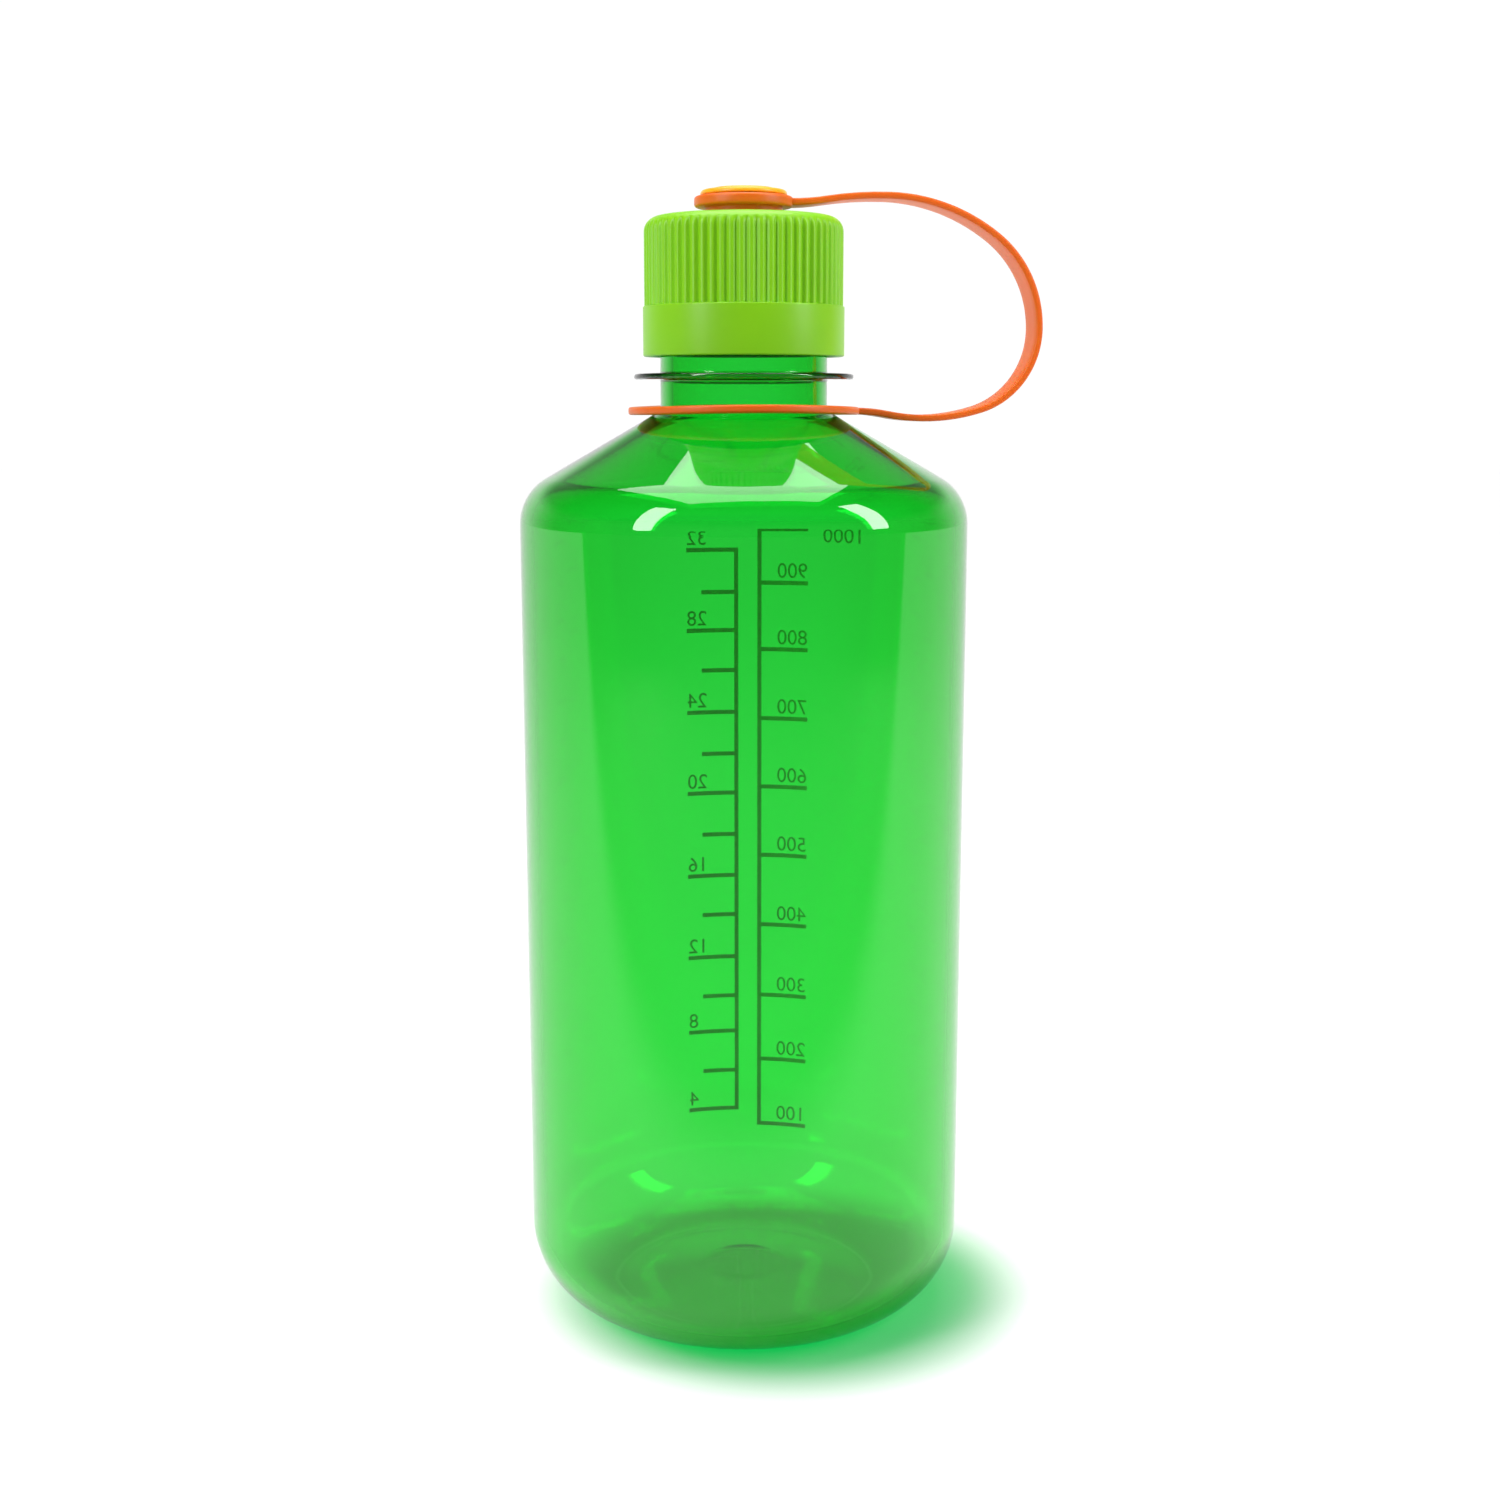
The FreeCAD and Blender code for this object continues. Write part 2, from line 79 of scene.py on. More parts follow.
BAND_R = CAP_HIGH.y
CAP_R = BAND_R - 0.3 * MM
CAP_BOTTOM = CAP_LOW.z
CAP_TOP = LIP_Z + 2.4 * MM
BAND_TOP = CAP_BOTTOM + 10.2 * MM
CAP_BORE = 18.95 * MM
CAP_CEILING = CAP_TOP - 1.9 * MM
POST_TOP = CAP_HIGH.z
PLUG_R = (13.1 * MM, 14.5 * MM)       # inner and outer radius of the plug seal
PLUG_BOTTOM = LIP_Z - 4.5 * MM
BEAD_R = (15.2 * MM, 16.6 * MM)       # inner and outer radius of the bead that seals on the lip
BEAD_BOTTOM = LIP_Z + 0.2 * MM
POST_R = 4.5 * MM
SOCKET_R = 2.8 * MM
SOCKET_FLOOR = CAP_CEILING + 1.2 * MM
FLUTES = 64
FLUTE_DEPTH = 0.55 * MM

RING_Z = SHOULDER_TOP - 0.92 * MM
LATHE_STEPS = 192


# ---------------------------------------------------------------- materials

def linear(hex_colour):
    """An sRGB hex colour as linear red, green, blue and alpha."""
    parts = [int(hex_colour[i:i + 2], 16) / 255 for i in (1, 3, 5)]
    return (*[p / 12.92 if p <= 0.04045 else ((p + 0.055) / 1.055) ** 2.4 for p in parts], 1.0)


def node(tree, kind, settings=(), **links):
    """Adds a node. settings are its properties and input values, and links its inputs' sources."""
    made = tree.nodes.new(kind)
    for name, value in dict(settings).items():
        if name in made.inputs:
            made.inputs[name].default_value = value
        else:
            setattr(made, name, value)
    for name, source in links.items():
        tree.links.new(source, made.inputs[name.replace("_", " ")])
    return made


def new_material(name):
    material = bpy.data.materials.new(name)
    material.use_nodes = True
    tree = material.node_tree
    tree.nodes.clear()
    return material, tree


def clear_copolyester():
    """Clear green copolyester, blow moulded in a polished mould: glassy, and green by its depth."""
    material, tree = new_material("clear_green_copolyester")
    place = node(tree, "ShaderNodeTexCoord")
    ripple = node(tree, "ShaderNodeTexNoise", {"Scale": 45.0, "Detail": 1.0}, Vector=place.outputs["Object"])
    bump = node(tree, "ShaderNodeBump", {"Strength": 0.03, "Distance": 0.0005}, Height=ripple.outputs["Fac"])
    glass = node(tree, "ShaderNodeBsdfPrincipled", {
        "Base Color": linear("#EEFFF2"), "Roughness": 0.015, "IOR": 1.57, "Transmission Weight": 1.0,
    }, Normal=bump.outputs["Normal"])
    light_through = node(tree, "ShaderNodeBsdfTransparent", {"Color": (0.55, 0.98, 0.62, 1.0)})
    path = node(tree, "ShaderNodeLightPath")
    surface = node(tree, "ShaderNodeMixShader")
    tree.links.new(path.outputs["Is Shadow Ray"], surface.inputs[0])
    tree.links.new(glass.outputs["BSDF"], surface.inputs[1])
    tree.links.new(light_through.outputs["BSDF"], surface.inputs[2])
    depth = node(tree, "ShaderNodeVolumeAbsorption", {"Color": (0.0, 0.89, 0.28, 1.0), "Density": 850.0})
    node(tree, "ShaderNodeOutputMaterial", Surface=surface.outputs["Shader"], Volume=depth.outputs["Volume"])
    return material


def moulded_polypropylene():
    """Lime polypropylene, injection moulded in a finely eroded mould: an even satin with a little depth."""
    material, tree = new_material("moulded_lime_polypropylene")
    place = node(tree, "ShaderNodeTexCoord")
    grain = node(tree, "ShaderNodeTexNoise", {"Scale": 2500.0, "Detail": 2.0}, Vector=place.outputs["Object"])
    bump = node(tree, "ShaderNodeBump", {"Strength": 0.05, "Distance": 0.0002}, Height=grain.outputs["Fac"])
    tone = node(tree, "ShaderNodeTexNoise", {"Scale": 90.0, "Detail": 2.0}, Vector=place.outputs["Object"])
    colour = node(tree, "ShaderNodeMix", {"data_type": "RGBA"})
    colour.inputs[6].default_value = linear("#8AD808")
    colour.inputs[7].default_value = linear("#96E20E")
    tree.links.new(tone.outputs["Fac"], colour.inputs[0])
    surface = node(tree, "ShaderNodeBsdfPrincipled", {
        "Roughness": 0.38, "IOR": 1.49, "Subsurface Weight": 0.25, "Subsurface Radius": (0.6, 1.0, 0.2),
        "Subsurface Scale": 0.0012,
    }, Base_Color=colour.outputs[2], Normal=bump.outputs["Normal"])
    node(tree, "ShaderNodeOutputMaterial", Surface=surface.outputs["BSDF"])
    return material


def flexible_polyolefin():
    """Orange flexible polyolefin: soft satin, slightly see-through where it is thin."""
    material, tree = new_material("flexible_orange_polyolefin")
    place = node(tree, "ShaderNodeTexCoord")
    grain = node(tree, "ShaderNodeTexNoise", {"Scale": 1800.0, "Detail": 2.0}, Vector=place.outputs["Object"])
    bump = node(tree, "ShaderNodeBump", {"Strength": 0.05, "Distance": 0.0002}, Height=grain.outputs["Fac"])
    surface = node(tree, "ShaderNodeBsdfPrincipled", {
        "Base Color": linear("#FF7208"), "Roughness": 0.42, "IOR": 1.5, "Subsurface Weight": 0.35,
        "Subsurface Radius": (1.0, 0.4, 0.1), "Subsurface Scale": 0.0015,
    }, Normal=bump.outputs["Normal"])
    node(tree, "ShaderNodeOutputMaterial", Surface=surface.outputs["BSDF"])
    return material


def amber_polypropylene():
    """Amber unfilled polypropylene: lets light in, so that it glows at its edges."""
    material, tree = new_material("amber_polypropylene")
    place = node(tree, "ShaderNodeTexCoord")
    grain = node(tree, "ShaderNodeTexNoise", {"Scale": 1500.0, "Detail": 2.0}, Vector=place.outputs["Object"])
    bump = node(tree, "ShaderNodeBump", {"Strength": 0.04, "Distance": 0.0002}, Height=grain.outputs["Fac"])
    surface = node(tree, "ShaderNodeBsdfPrincipled", {
        "Base Color": linear("#FFC01C"), "Roughness": 0.32, "IOR": 1.49, "Subsurface Weight": 0.5,
        "Subsurface Radius": (1.0, 0.6, 0.1), "Subsurface Scale": 0.002,
    }, Normal=bump.outputs["Normal"])
    node(tree, "ShaderNodeOutputMaterial", Surface=surface.outputs["BSDF"])
    return material


def screen_ink():
    """White screen-printing ink, matt and opaque."""
    material, tree = new_material("white_screen_ink")
    surface = node(tree, "ShaderNodeBsdfPrincipled", {"Base Color": linear("#C9D2C6"), "Roughness": 0.6})
    node(tree, "ShaderNodeOutputMaterial", Surface=surface.outputs["BSDF"])
    return material


COPOLYESTER = clear_copolyester()
POLYPROPYLENE = moulded_polypropylene()
POLYOLEFIN = flexible_polyolefin()
AMBER = amber_polypropylene()
INK = screen_ink()


# ---------------------------------------------------------------- shaping

def rounded(corners, step=6.0):
    """A profile of (radius, height) points through corners given as (radius, height, rounding)."""
    points = []
    for number, (r, z, rounding) in enumerate(corners):
        here = Vector((r, z))
        if rounding == 0 or number in (0, len(corners) - 1):
            points.append(here)
            continue
        before = (Vector(corners[number - 1][:2]) - here).normalized()
        after = (Vector(corners[number + 1][:2]) - here).normalized()
        half = before.angle(after) / 2
        back = rounding / math.tan(half)
        centre = here + (before + after).normalized() * (rounding / math.sin(half))
        start, end = here + before * back - centre, here + after * back - centre
        turn = start.angle_signed(end)
        count = max(2, round(abs(math.degrees(turn)) / step))
        for i in range(count + 1):
            points.append(centre + Matrix.Rotation(-turn * i / count, 2) @ start)
    return points


def lathed(profile, steps=LATHE_STEPS, closed=False):
    """A bmesh of a profile spun about Z."""
    bm = bmesh.new()
    verts = [bm.verts.new((p.x, 0, p.y)) for p in profile]
    pairs = list(zip(verts, verts[1:])) + ([(verts[-1], verts[0])] if closed else [])
    edges = [bm.edges.new(pair) for pair in pairs]
    bmesh.ops.spin(bm, geom=verts + edges, cent=(0, 0, 0), axis=(0, 0, 1), angle=2 * math.pi, steps=steps,
                   use_merge=True)
    bmesh.ops.remove_doubles(bm, verts=bm.verts, dist=1e-7)
    bmesh.ops.recalc_face_normals(bm, faces=bm.faces)
    return bm


def finished(name, bm, material, body, smooth_angle=40.0):
    """Turns a bmesh into a smooth piece that rides on a body."""
    mesh = bpy.data.meshes.new(name)
    bm.to_mesh(mesh)
    bm.free()
    mesh.materials.append(material)
    mesh.polygons.foreach_set("use_smooth", [True] * len(mesh.polygons))
    mesh.set_sharp_from_angle(angle=math.radians(smooth_angle))
    piece = bpy.data.objects.new(name, mesh)
    bpy.context.scene.collection.objects.link(piece)
    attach(piece, body)
    return piece


def helix_ridge(section, start_turn, turns, steps_per_turn=96):
    """A right-hand ridge: a section of (radius, height) points wound about Z, with its ends closed."""
    bm = bmesh.new()
    face = bm.faces.new([bm.verts.new((r, 0, z)) for r, z in section])
    start = Matrix.Rotation(2 * math.pi * start_turn, 3, "Z")
    bmesh.ops.rotate(bm, verts=bm.verts, cent=(0, 0, 0), matrix=start)
    steps = round(turns * steps_per_turn)
    bmesh.ops.spin(bm, geom=[face, *face.verts, *face.edges], cent=(0, 0, 0), axis=(0, 0, 1),
                   dvec=(0, 0, THREAD_LEAD * turns / steps), angle=2 * math.pi * turns, steps=steps)
    bmesh.ops.recalc_face_normals(bm, faces=bm.faces)
    return bm


# ---------------------------------------------------------------- bottle

def bottle():
    """The clear shell, from the middle of its base up the outside, over the lip and down the inside."""
    corner_z = SHOULDER_TOP - (BODY_R - NECK_R) * SHOULDER_SLOPE
    drop = WALL / math.cos(math.radians(30)) - WALL * SHOULDER_SLOPE
    profile = rounded([
        (0, PUSH_UP, 0),
        (8 * MM, PUSH_UP, 20 * MM),
        (26.5 * MM, 0, 20 * MM),
        (BODY_R, 0, 17.9 * MM),
        (BODY_R, corner_z, 11 * MM),
        (NECK_R, SHOULDER_TOP, 2 * MM),
        (NECK_R, FLANGE_Z, 0.4 * MM),
        (FLANGE_R, FLANGE_Z, 0.55 * MM),
        (FLANGE_R, FLANGE_Z + FLANGE_THICK, 0.55 * MM),
        (NECK_R, FLANGE_Z + FLANGE_THICK, 0.4 * MM),
        (NECK_R, LIP_Z, 0.8 * MM),
        (NECK_R - WALL, LIP_Z, 0.8 * MM),
        (NECK_R - WALL, SHOULDER_TOP - drop, 4.6 * MM),
        (BODY_R - WALL, corner_z - drop, 8.4 * MM),
        (BODY_R - WALL, WALL, 15.3 * MM),
        (26.5 * MM, WALL, 20 * MM),
        (8 * MM, PUSH_UP + WALL, 20 * MM),
        (0, PUSH_UP + WALL, 0),
    ], step=4.0)
    shell = finished("bottle_shell", lathed(profile), COPOLYESTER, "bottle_body", 60)
    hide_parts("bottle")
    root = NECK_R - THREAD_SINK
    section = [(root, -1.2 * MM), (THREAD_R, -0.5 * MM), (THREAD_R, 0.5 * MM), (root, 1.2 * MM)]
    ridge = helix_ridge([(r, THREAD_Z + z) for r, z in section], 0, THREAD_TURNS)
    finished("neck_thread", ridge, COPOLYESTER, "bottle_body", 30)


# ---------------------------------------------------------------- printed scales

SCALE_TURN = math.radians(10.0)   # the scales' middle, from the back of the bottle towards the loop
INK_LIFT = 0.02 * MM
INK_THICK = 0.03 * MM
ML_SPINE, ML_END = -3.8, -15.6    # millimetres to the right of the middle, as they are read
OZ_SPINE, OZ_LONG, OZ_SHORT = 1.9, 14.0, 10.4
ML_HEIGHTS = (20.8, 37.3, 53.5, 71.1, 88.3, 105.0, 121.5, 138.0, 153.7, 166.6)
OZ_HEIGHTS = (24.7, 34.4, 44.4, 53.3, 63.1, 73.6, 83.3, 93.4, 103.5, 113.0, 123.0, 133.0, 142.5, 151.5, 161.4)
LINE = 1.0
DIGITS_TALL = 3.5


def printed_line(bm, low, high):
    """A flat bar of ink between two corners in millimetres, cut across often enough to bend with the wall."""
    steps = max(1, round((high[0] - low[0]) / 1.2))
    for i in range(steps):
        left = low[0] + (high[0] - low[0]) * i / steps
        right = low[0] + (high[0] - low[0]) * (i + 1) / steps
        cell = bmesh.ops.create_cube(bm, size=1.0)["verts"]
        for vert in cell:
            vert.co.x = left if vert.co.x < 0 else right
            vert.co.y = low[1] if vert.co.y < 0 else high[1]
            vert.co.z = 0 if vert.co.z < 0 else INK_THICK / MM
    bmesh.ops.remove_doubles(bm, verts=bm.verts, dist=1e-4)
    inner = [face for face in bm.faces if abs(face.normal.x) > 0.5
             and all(len(edge.link_faces) > 2 for edge in face.edges)]
    bmesh.ops.delete(bm, geom=inner, context="FACES_ONLY")


def printed_digits(bm, text, side, x, z, tall=DIGITS_TALL):
    """Digits of ink, tall millimetres high, that start or end at x with their foot at z."""
    curve = bpy.data.curves.new("digits", "FONT")
    curve.body, curve.align_x, curve.size, curve.extrude = text, side, tall / 0.7, INK_THICK / MM / 2
    curve.resolution_u = 6
    letters = bpy.data.objects.new("digits", curve)
    bpy.context.scene.collection.objects.link(letters)
    bpy.context.view_layer.update()
    mesh = bpy.data.meshes.new_from_object(letters)
    mesh.transform(Matrix.Translation((x, z, INK_THICK / MM / 2)))
    bm.from_mesh(mesh)
    bpy.data.objects.remove(letters)
    bpy.data.curves.remove(curve)
    bpy.data.meshes.remove(mesh)


def wrapped(bm):
    """Bends flat print, x to the right and y up in millimetres, round the back of the body."""
    outward = Vector((math.sin(SCALE_TURN), math.cos(SCALE_TURN), 0))
    rightward = Vector((-math.cos(SCALE_TURN), math.sin(SCALE_TURN), 0))
    for vert in bm.verts:
        angle = math.asin(vert.co.x * MM / BODY_R)
        r = BODY_R + INK_LIFT + vert.co.z * MM
        level = (outward * math.cos(angle) + rightward * math.sin(angle)) * r
        vert.co = level + Vector((0, 0, vert.co.y * MM))
    bmesh.ops.remove_doubles(bm, verts=bm.verts, dist=1e-7)
    bmesh.ops.recalc_face_normals(bm, faces=bm.faces)


def scales():
    """Millilitre and ounce scales on the back of the body, as thin layers of ink."""
    half = LINE / 2
    bm = bmesh.new()
    printed_line(bm, (ML_SPINE - half, ML_HEIGHTS[0] - half), (ML_SPINE + half, ML_HEIGHTS[-1] + half))
    for number, z in enumerate(ML_HEIGHTS, start=1):
        printed_line(bm, (ML_END, z - half), (ML_SPINE - half, z + half))
        if number < 10:
            printed_digits(bm, str(number * 100), "LEFT", ML_END, z + 1.2)
        else:
            printed_digits(bm, "1000", "RIGHT", ML_END - 3.5, z - 3.2)
    wrapped(bm)
    finished("millilitre_scale", bm, INK, "bottle_body", 30)
    bm = bmesh.new()
    printed_line(bm, (OZ_SPINE - half, OZ_HEIGHTS[0] - half), (OZ_SPINE + half, OZ_HEIGHTS[-1] + half))
    for number, z in enumerate(OZ_HEIGHTS, start=2):
        long = number % 2 == 0
        printed_line(bm, (OZ_SPINE + half, z - half), (OZ_LONG if long else OZ_SHORT, z + half))
        if long:
            printed_digits(bm, str(number * 2), "RIGHT", OZ_LONG, z + 1.2)
    wrapped(bm)
    finished("ounce_scale", bm, INK, "bottle_body", 30)


# ---------------------------------------------------------------- cap

def cap():
    """Ribbed shell with its seal, band and post, and the thread inside it."""
    profile = rounded([
        (0, CAP_CEILING, 0),
        (PLUG_R[0], CAP_CEILING, 0),
        (PLUG_R[0], PLUG_BOTTOM, 0.3 * MM),
        (PLUG_R[1], PLUG_BOTTOM, 0.4 * MM),
        (PLUG_R[1], CAP_CEILING, 0),
        (BEAD_R[0], CAP_CEILING, 0),
        (BEAD_R[0], BEAD_BOTTOM, 0.1 * MM),
        (BEAD_R[1], BEAD_BOTTOM, 0.1 * MM),
        (BEAD_R[1], CAP_CEILING, 0),
        (CAP_BORE, CAP_CEILING, 0.6 * MM),
        (CAP_BORE, CAP_BOTTOM, 0.4 * MM),
        (BAND_R, CAP_BOTTOM, 0.4 * MM),
        (BAND_R, BAND_TOP, 0.25 * MM),
        (CAP_R, BAND_TOP, 0.1 * MM),
        (CAP_R, CAP_TOP, 3.0 * MM),
        (POST_R, CAP_TOP, 0.3 * MM),
        (POST_R, POST_TOP, 0.4 * MM),
        (SOCKET_R, POST_TOP, 0.3 * MM),
        (SOCKET_R, SOCKET_FLOOR, 0.3 * MM),
        (0, SOCKET_FLOOR, 0),
    ], step=9.0)
    bm = bmesh.new()
    verts = [bm.verts.new((p.x, 0, p.y)) for p in profile]
    edges = [bm.edges.new(pair) for pair in zip(verts, verts[1:])]
    pitch = 2 * math.pi / FLUTES
    bmesh.ops.spin(bm, geom=verts + edges, cent=(0, 0, 0), axis=(0, 0, 1), angle=pitch, steps=10)
    bmesh.ops.spin(bm, geom=[*bm.verts, *bm.edges, *bm.faces], cent=(0, 0, 0), axis=(0, 0, 1),
                   angle=2 * math.pi - pitch, steps=FLUTES - 1, use_duplicate=True)
    bmesh.ops.remove_doubles(bm, verts=bm.verts, dist=1e-7)
    bmesh.ops.recalc_face_normals(bm, faces=bm.faces)
    bottom_r = CAP_R - FLUTE_DEPTH
    for vert in bm.verts:
        r, z = math.hypot(vert.co.x, vert.co.y), vert.co.z
        if r < bottom_r or z < BAND_TOP + 0.05 * MM or z > CAP_TOP:
            continue
        wave = 0.5 + 0.5 * math.cos(math.atan2(vert.co.y, vert.co.x) * FLUTES)
        groove = (1 - wave) ** 2.0
        new_r = r - (r - bottom_r) * groove
        vert.co.x *= new_r / r
        vert.co.y *= new_r / r
    shell = finished("ribbed_cap", bm, POLYPROPYLENE, "cap_body", 50)
    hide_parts("cap")
    start_z = THREAD_Z - THREAD_LEAD / 4 + 0.35 * MM
    root, tip = CAP_BORE + THREAD_SINK, NECK_R + 0.3 * MM
    section = [(root, -1.0 * MM), (tip, -0.4 * MM), (tip, 0.4 * MM), (root, 1.0 * MM)]
    ridge = helix_ridge([(r, start_z + z) for r, z in section], 0.25, THREAD_TURNS - 0.25)
    finished("cap_thread", ridge, POLYPROPYLENE, "cap_body", 30)


# ---------------------------------------------------------------- tether

EYE_Z = CAP_TOP + 1.9 * MM
EYE_THICK = 2.2 * MM
EYE_BORE = 4.7 * MM
EYE_R = 10.2 * MM
HUB_R = 8.0 * MM
HUB_TALL = 1.7 * MM
RING_R = (19.6 * MM, 24.1 * MM)       # inner and outer radius of the neck ring
RING_THICK = 1.6 * MM
STRAP_START = Vector((9.0 * MM, 0, EYE_Z + EYE_THICK / 2))
STRAP_ARCS = [  # radius and turn of each bend from the eye to the neck ring
    (48.0, 9.2), (77.0, -10.0), (40.0, -36.0), (23.5, -53.2), (17.6, -73.3), (42.0, -28.0), (35.0, 11.3),
]
STRAP_WIDE = 8.0 * MM
STRAP_THICK = 1.4 * MM
RING_BOW = 0.6 * MM                   # how much higher its sides lie than its middle


def strap():
    """The strap: an oblong section with soft corners, carried along its bends."""
    bm = bmesh.new()
    half_w, half_t, soft = STRAP_WIDE / 2, STRAP_THICK / 2, 0.35 * MM
    outline = [(half_w, half_t - soft), (half_w - 0.1 * MM, half_t - 0.1 * MM), (half_w - soft, half_t),
               (half_w * 0.4, half_t)]
    outline += [(-y, z) for y, z in reversed(outline)]
    outline += [(-y, -z) for y, z in outline]
    section = bm.faces.new([bm.verts.new(STRAP_START + Vector((0, y, z))) for y, z in outline])
    geometry = [section, *section.verts, *section.edges]
    at, heading = STRAP_START.copy(), 0.0
    for radius, turn in STRAP_ARCS:
        side = 1 if turn > 0 else -1
        normal = Vector((-math.sin(math.radians(heading)), 0, math.cos(math.radians(heading))))
        centre = at + normal * (side * radius * MM)
        swing = Matrix.Rotation(-math.radians(turn), 3, "Y")
        steps = max(4, round(abs(turn) / 2.5))
        spun = bmesh.ops.spin(bm, geom=geometry, cent=centre, axis=(0, -1, 0), angle=math.radians(turn),
                              steps=steps)
        geometry = spun["geom_last"]
        at = centre + swing @ (at - centre)
        heading += turn
    bmesh.ops.recalc_face_normals(bm, faces=bm.faces)
    return bm


def tether():
    """Eye with its hub, strap and neck ring."""
    finished("tether_strap", strap(), POLYOLEFIN, "tether_body", 50)
    bm = lathed(rounded([
        (EYE_BORE, EYE_Z - HUB_TALL, 0),
        (HUB_R, EYE_Z - HUB_TALL, 0.4 * MM),
        (HUB_R, EYE_Z, 0.3 * MM),
        (EYE_R, EYE_Z, 0.6 * MM),
        (EYE_R, EYE_Z + EYE_THICK, 0.6 * MM),
        (EYE_BORE, EYE_Z + EYE_THICK, 0),
    ], step=15.0), steps=96, closed=True)
    finished("tether_eye", bm, POLYOLEFIN, "tether_body", 50)
    bm = lathed(rounded([
        (21.0 * MM, RING_Z, 0),
        (RING_R[1], RING_Z, 0.5 * MM),
        (RING_R[1], RING_Z + RING_THICK, 0.5 * MM),
        (RING_R[0], RING_Z + RING_THICK, 0.5 * MM),
        (RING_R[0], RING_Z, 0.5 * MM),
        (20.9 * MM, RING_Z, 0),
    ], step=15.0), steps=128, closed=True)
    for vert in bm.verts:
        vert.co.z += RING_BOW * (vert.co.y / TETHER_HIGH.y) ** 2
    ring = finished("tether_ring", bm, POLYOLEFIN, "tether_body", 50)
    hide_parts("tether")


def button():
    """Domed button with a raised middle."""
    base, top = BUTTON_HIGH.z - 1.5 * MM, BUTTON_HIGH.z
    profile = rounded([
        (0, BUTTON_LOW.z, 0),
        (2.6 * MM, BUTTON_LOW.z, 0.4 * MM),
        (2.6 * MM, base, 0.2 * MM),
        (9.05 * MM, base, 0.3 * MM),
        (8.75 * MM, top - 0.45 * MM, 0.8 * MM),
        (6.6 * MM, top - 0.3 * MM, 0.5 * MM),
        (6.2 * MM, top, 0.4 * MM),
        (0, top, 0),
    ], step=10.0)
    piece = finished("domed_button", lathed(profile, steps=96), AMBER, "button_body", 50)
    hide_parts("tether_button")


# ---------------------------------------------------------------- stage

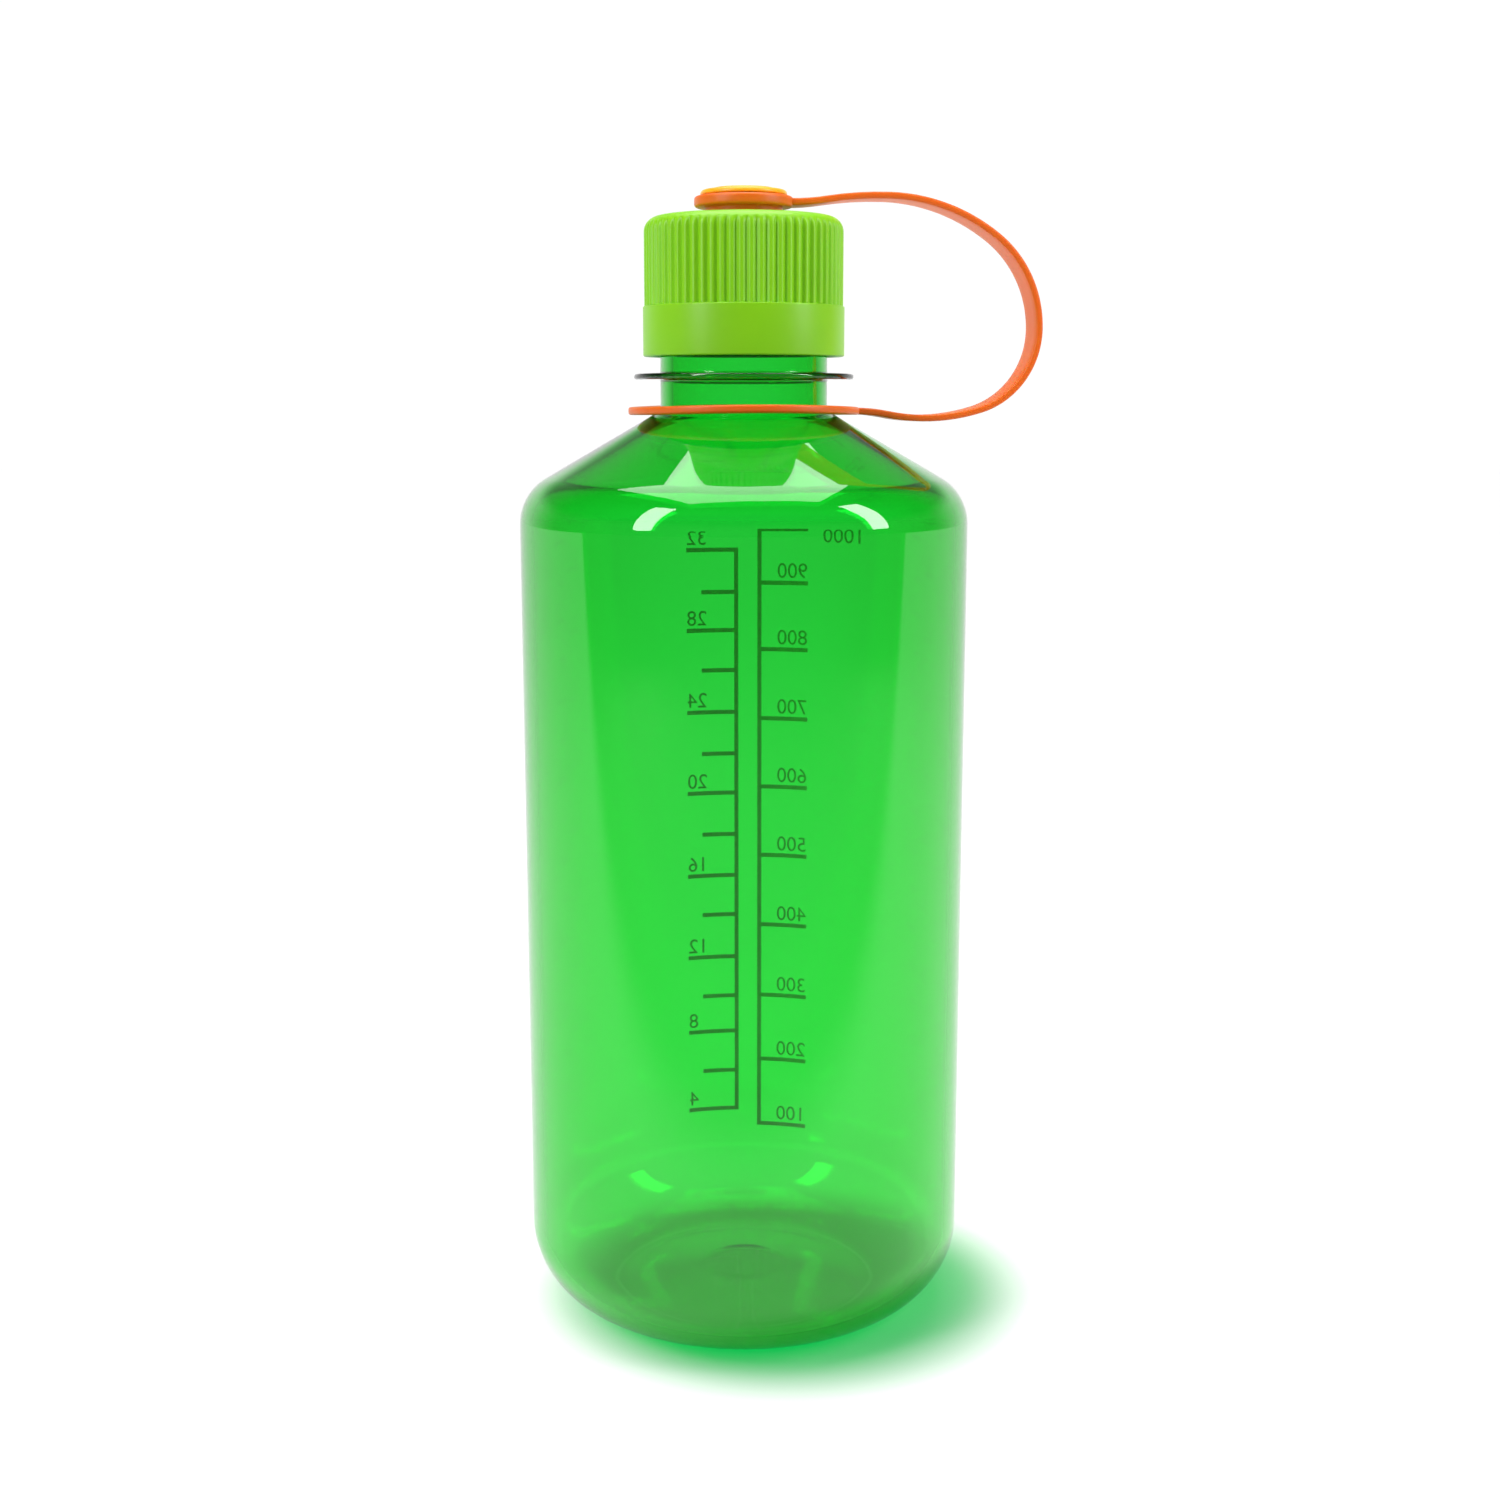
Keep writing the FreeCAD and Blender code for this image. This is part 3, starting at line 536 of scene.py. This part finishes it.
def studio():
    """Pale glowing floor with a painted green shadow under the bottle, soft light from above and both sides,
    and the camera.
    """
    scene = bpy.context.scene
    scene.view_settings.view_transform = "Standard"
    bm = bmesh.new()
    bmesh.ops.create_circle(bm, cap_ends=True, segments=96, radius=6.0)
    mesh = bpy.data.meshes.new("floor")
    bm.to_mesh(mesh)
    bm.free()
    floor = bpy.data.objects.new("floor", mesh)
    scene.collection.objects.link(floor)
    material, tree = new_material("white_floor")
    turn = math.radians(CAMERA_TURN)
    away = (math.sin(turn), math.cos(turn), 0)
    place = node(tree, "ShaderNodeTexCoord")
    along = node(tree, "ShaderNodeVectorMath", {"operation": "DOT_PRODUCT"})
    along.inputs[1].default_value = away
    tree.links.new(place.outputs["Object"], along.inputs[0])
    # The floor's own glow is painted light: full from 11 cm in front of the bottle backwards, falling to
    # about a fifth by 22 cm in front, on the camera's side.
    glow = node(tree, "ShaderNodeMapRange", {
        "interpolation_type": "SMOOTHSTEP",
        "From Min": -0.22, "From Max": -0.11, "To Min": 0.2, "To Max": 0.96,
    }, Value=along.outputs["Value"])
    surface = node(tree, "ShaderNodeBsdfPrincipled", {
        "Base Color": linear("#8A8A8A"), "Roughness": 0.9, "Specular IOR Level": 0.2,
    }, Emission_Strength=glow.outputs["Result"])
    # Painted shadow and painted green light under the base and just past it: the floor's glow turns a darker
    # green there, in place of the shadow that a real bottle casts and the green light that it lets through.
    offset = node(tree, "ShaderNodeVectorMath", {"operation": "DISTANCE"})
    offset.inputs[1].default_value = (0.009, -0.003, 0)
    tree.links.new(place.outputs["Object"], offset.inputs[0])
    painted_shadow_mask = node(tree, "ShaderNodeMapRange", {
        "interpolation_type": "SMOOTHSTEP", "From Min": 0.037, "From Max": 0.061,
    }, Value=offset.outputs["Value"])
    # Painted shadow colour: dark green glow near the bottle, white glow further out.
    painted_green_shadow = node(tree, "ShaderNodeMix", {"data_type": "RGBA"})
    painted_green_shadow.inputs[6].default_value = linear("#00A850")
    painted_green_shadow.inputs[7].default_value = (1, 1, 1, 1)
    tree.links.new(painted_shadow_mask.outputs["Result"], painted_green_shadow.inputs[0])
    tree.links.new(painted_green_shadow.outputs[2], surface.inputs["Emission Color"])
    node(tree, "ShaderNodeOutputMaterial", Surface=surface.outputs["BSDF"])
    mesh.materials.append(material)

    world = bpy.data.worlds.new("studio")
    scene.world = world
    world.use_nodes = True
    sky = world.node_tree
    sky.nodes.clear()
    place = node(sky, "ShaderNodeTexCoord")
    height = node(sky, "ShaderNodeSeparateXYZ", Vector=place.outputs["Generated"])
    shade = node(sky, "ShaderNodeMapRange", {
        "interpolation_type": "SMOOTHSTEP", "From Min": 0.22, "From Max": 0.42, "To Min": 1.03, "To Max": 0.3,
    }, Value=height.outputs["Z"])
    behind = node(sky, "ShaderNodeVectorMath", {"operation": "DOT_PRODUCT"})
    behind.inputs[1].default_value = away
    sky.links.new(place.outputs["Generated"], behind.inputs[0])
    front = node(sky, "ShaderNodeMapRange", {
        "interpolation_type": "SMOOTHSTEP", "From Min": 0.3, "From Max": 0.9, "To Min": 0.16, "To Max": 1.0,
    }, Value=behind.outputs["Value"])
    strength = node(sky, "ShaderNodeMath", {"operation": "MULTIPLY"})
    sky.links.new(shade.outputs["Result"], strength.inputs[0])
    sky.links.new(front.outputs["Result"], strength.inputs[1])
    light = node(sky, "ShaderNodeBackground", {"Color": (1, 1, 1, 1)}, Strength=strength.outputs["Value"])
    node(sky, "ShaderNodeOutputWorld", Surface=light.outputs["Background"])

    def softbox(name, place, aim, wide, tall, watts):
        light = bpy.data.lights.new(name, "AREA")
        light.shape, light.size, light.size_y, light.energy = "RECTANGLE", wide, tall, watts
        lamp = bpy.data.objects.new(name, light)
        scene.collection.objects.link(lamp)
        lamp.location = place
        lamp.rotation_euler = (Vector(aim) - Vector(place)).to_track_quat("-Z", "Y").to_euler()

    middle = (0, 0, 0.12)
    softbox("top_softbox", (0, 0.1, 1.1), middle, 0.9, 0.9, 9.5)
    softbox("left_softbox", (-0.9, -0.5, 0.7), middle, 0.22, 0.9, 7.0)
    softbox("right_softbox", (0.9, -0.5, 0.7), middle, 0.22, 0.9, 7.0)

    camera_data = bpy.data.cameras.new("camera")
    camera_data.lens, camera_data.sensor_width = CAMERA_LENS, 36.0
    camera_data.clip_start, camera_data.clip_end = 0.01, 50.0
    camera = bpy.data.objects.new("camera", camera_data)
    scene.collection.objects.link(camera)
    camera.location = (-CAMERA_DISTANCE * away[0], -CAMERA_DISTANCE * away[1], CAMERA_HEIGHT)
    camera.rotation_euler = (math.radians(90 - CAMERA_PITCH), 0, -math.radians(CAMERA_TURN + CAMERA_AIM))
    scene.camera = camera


bottle()
scales()
cap()
tether()
button()
studio()
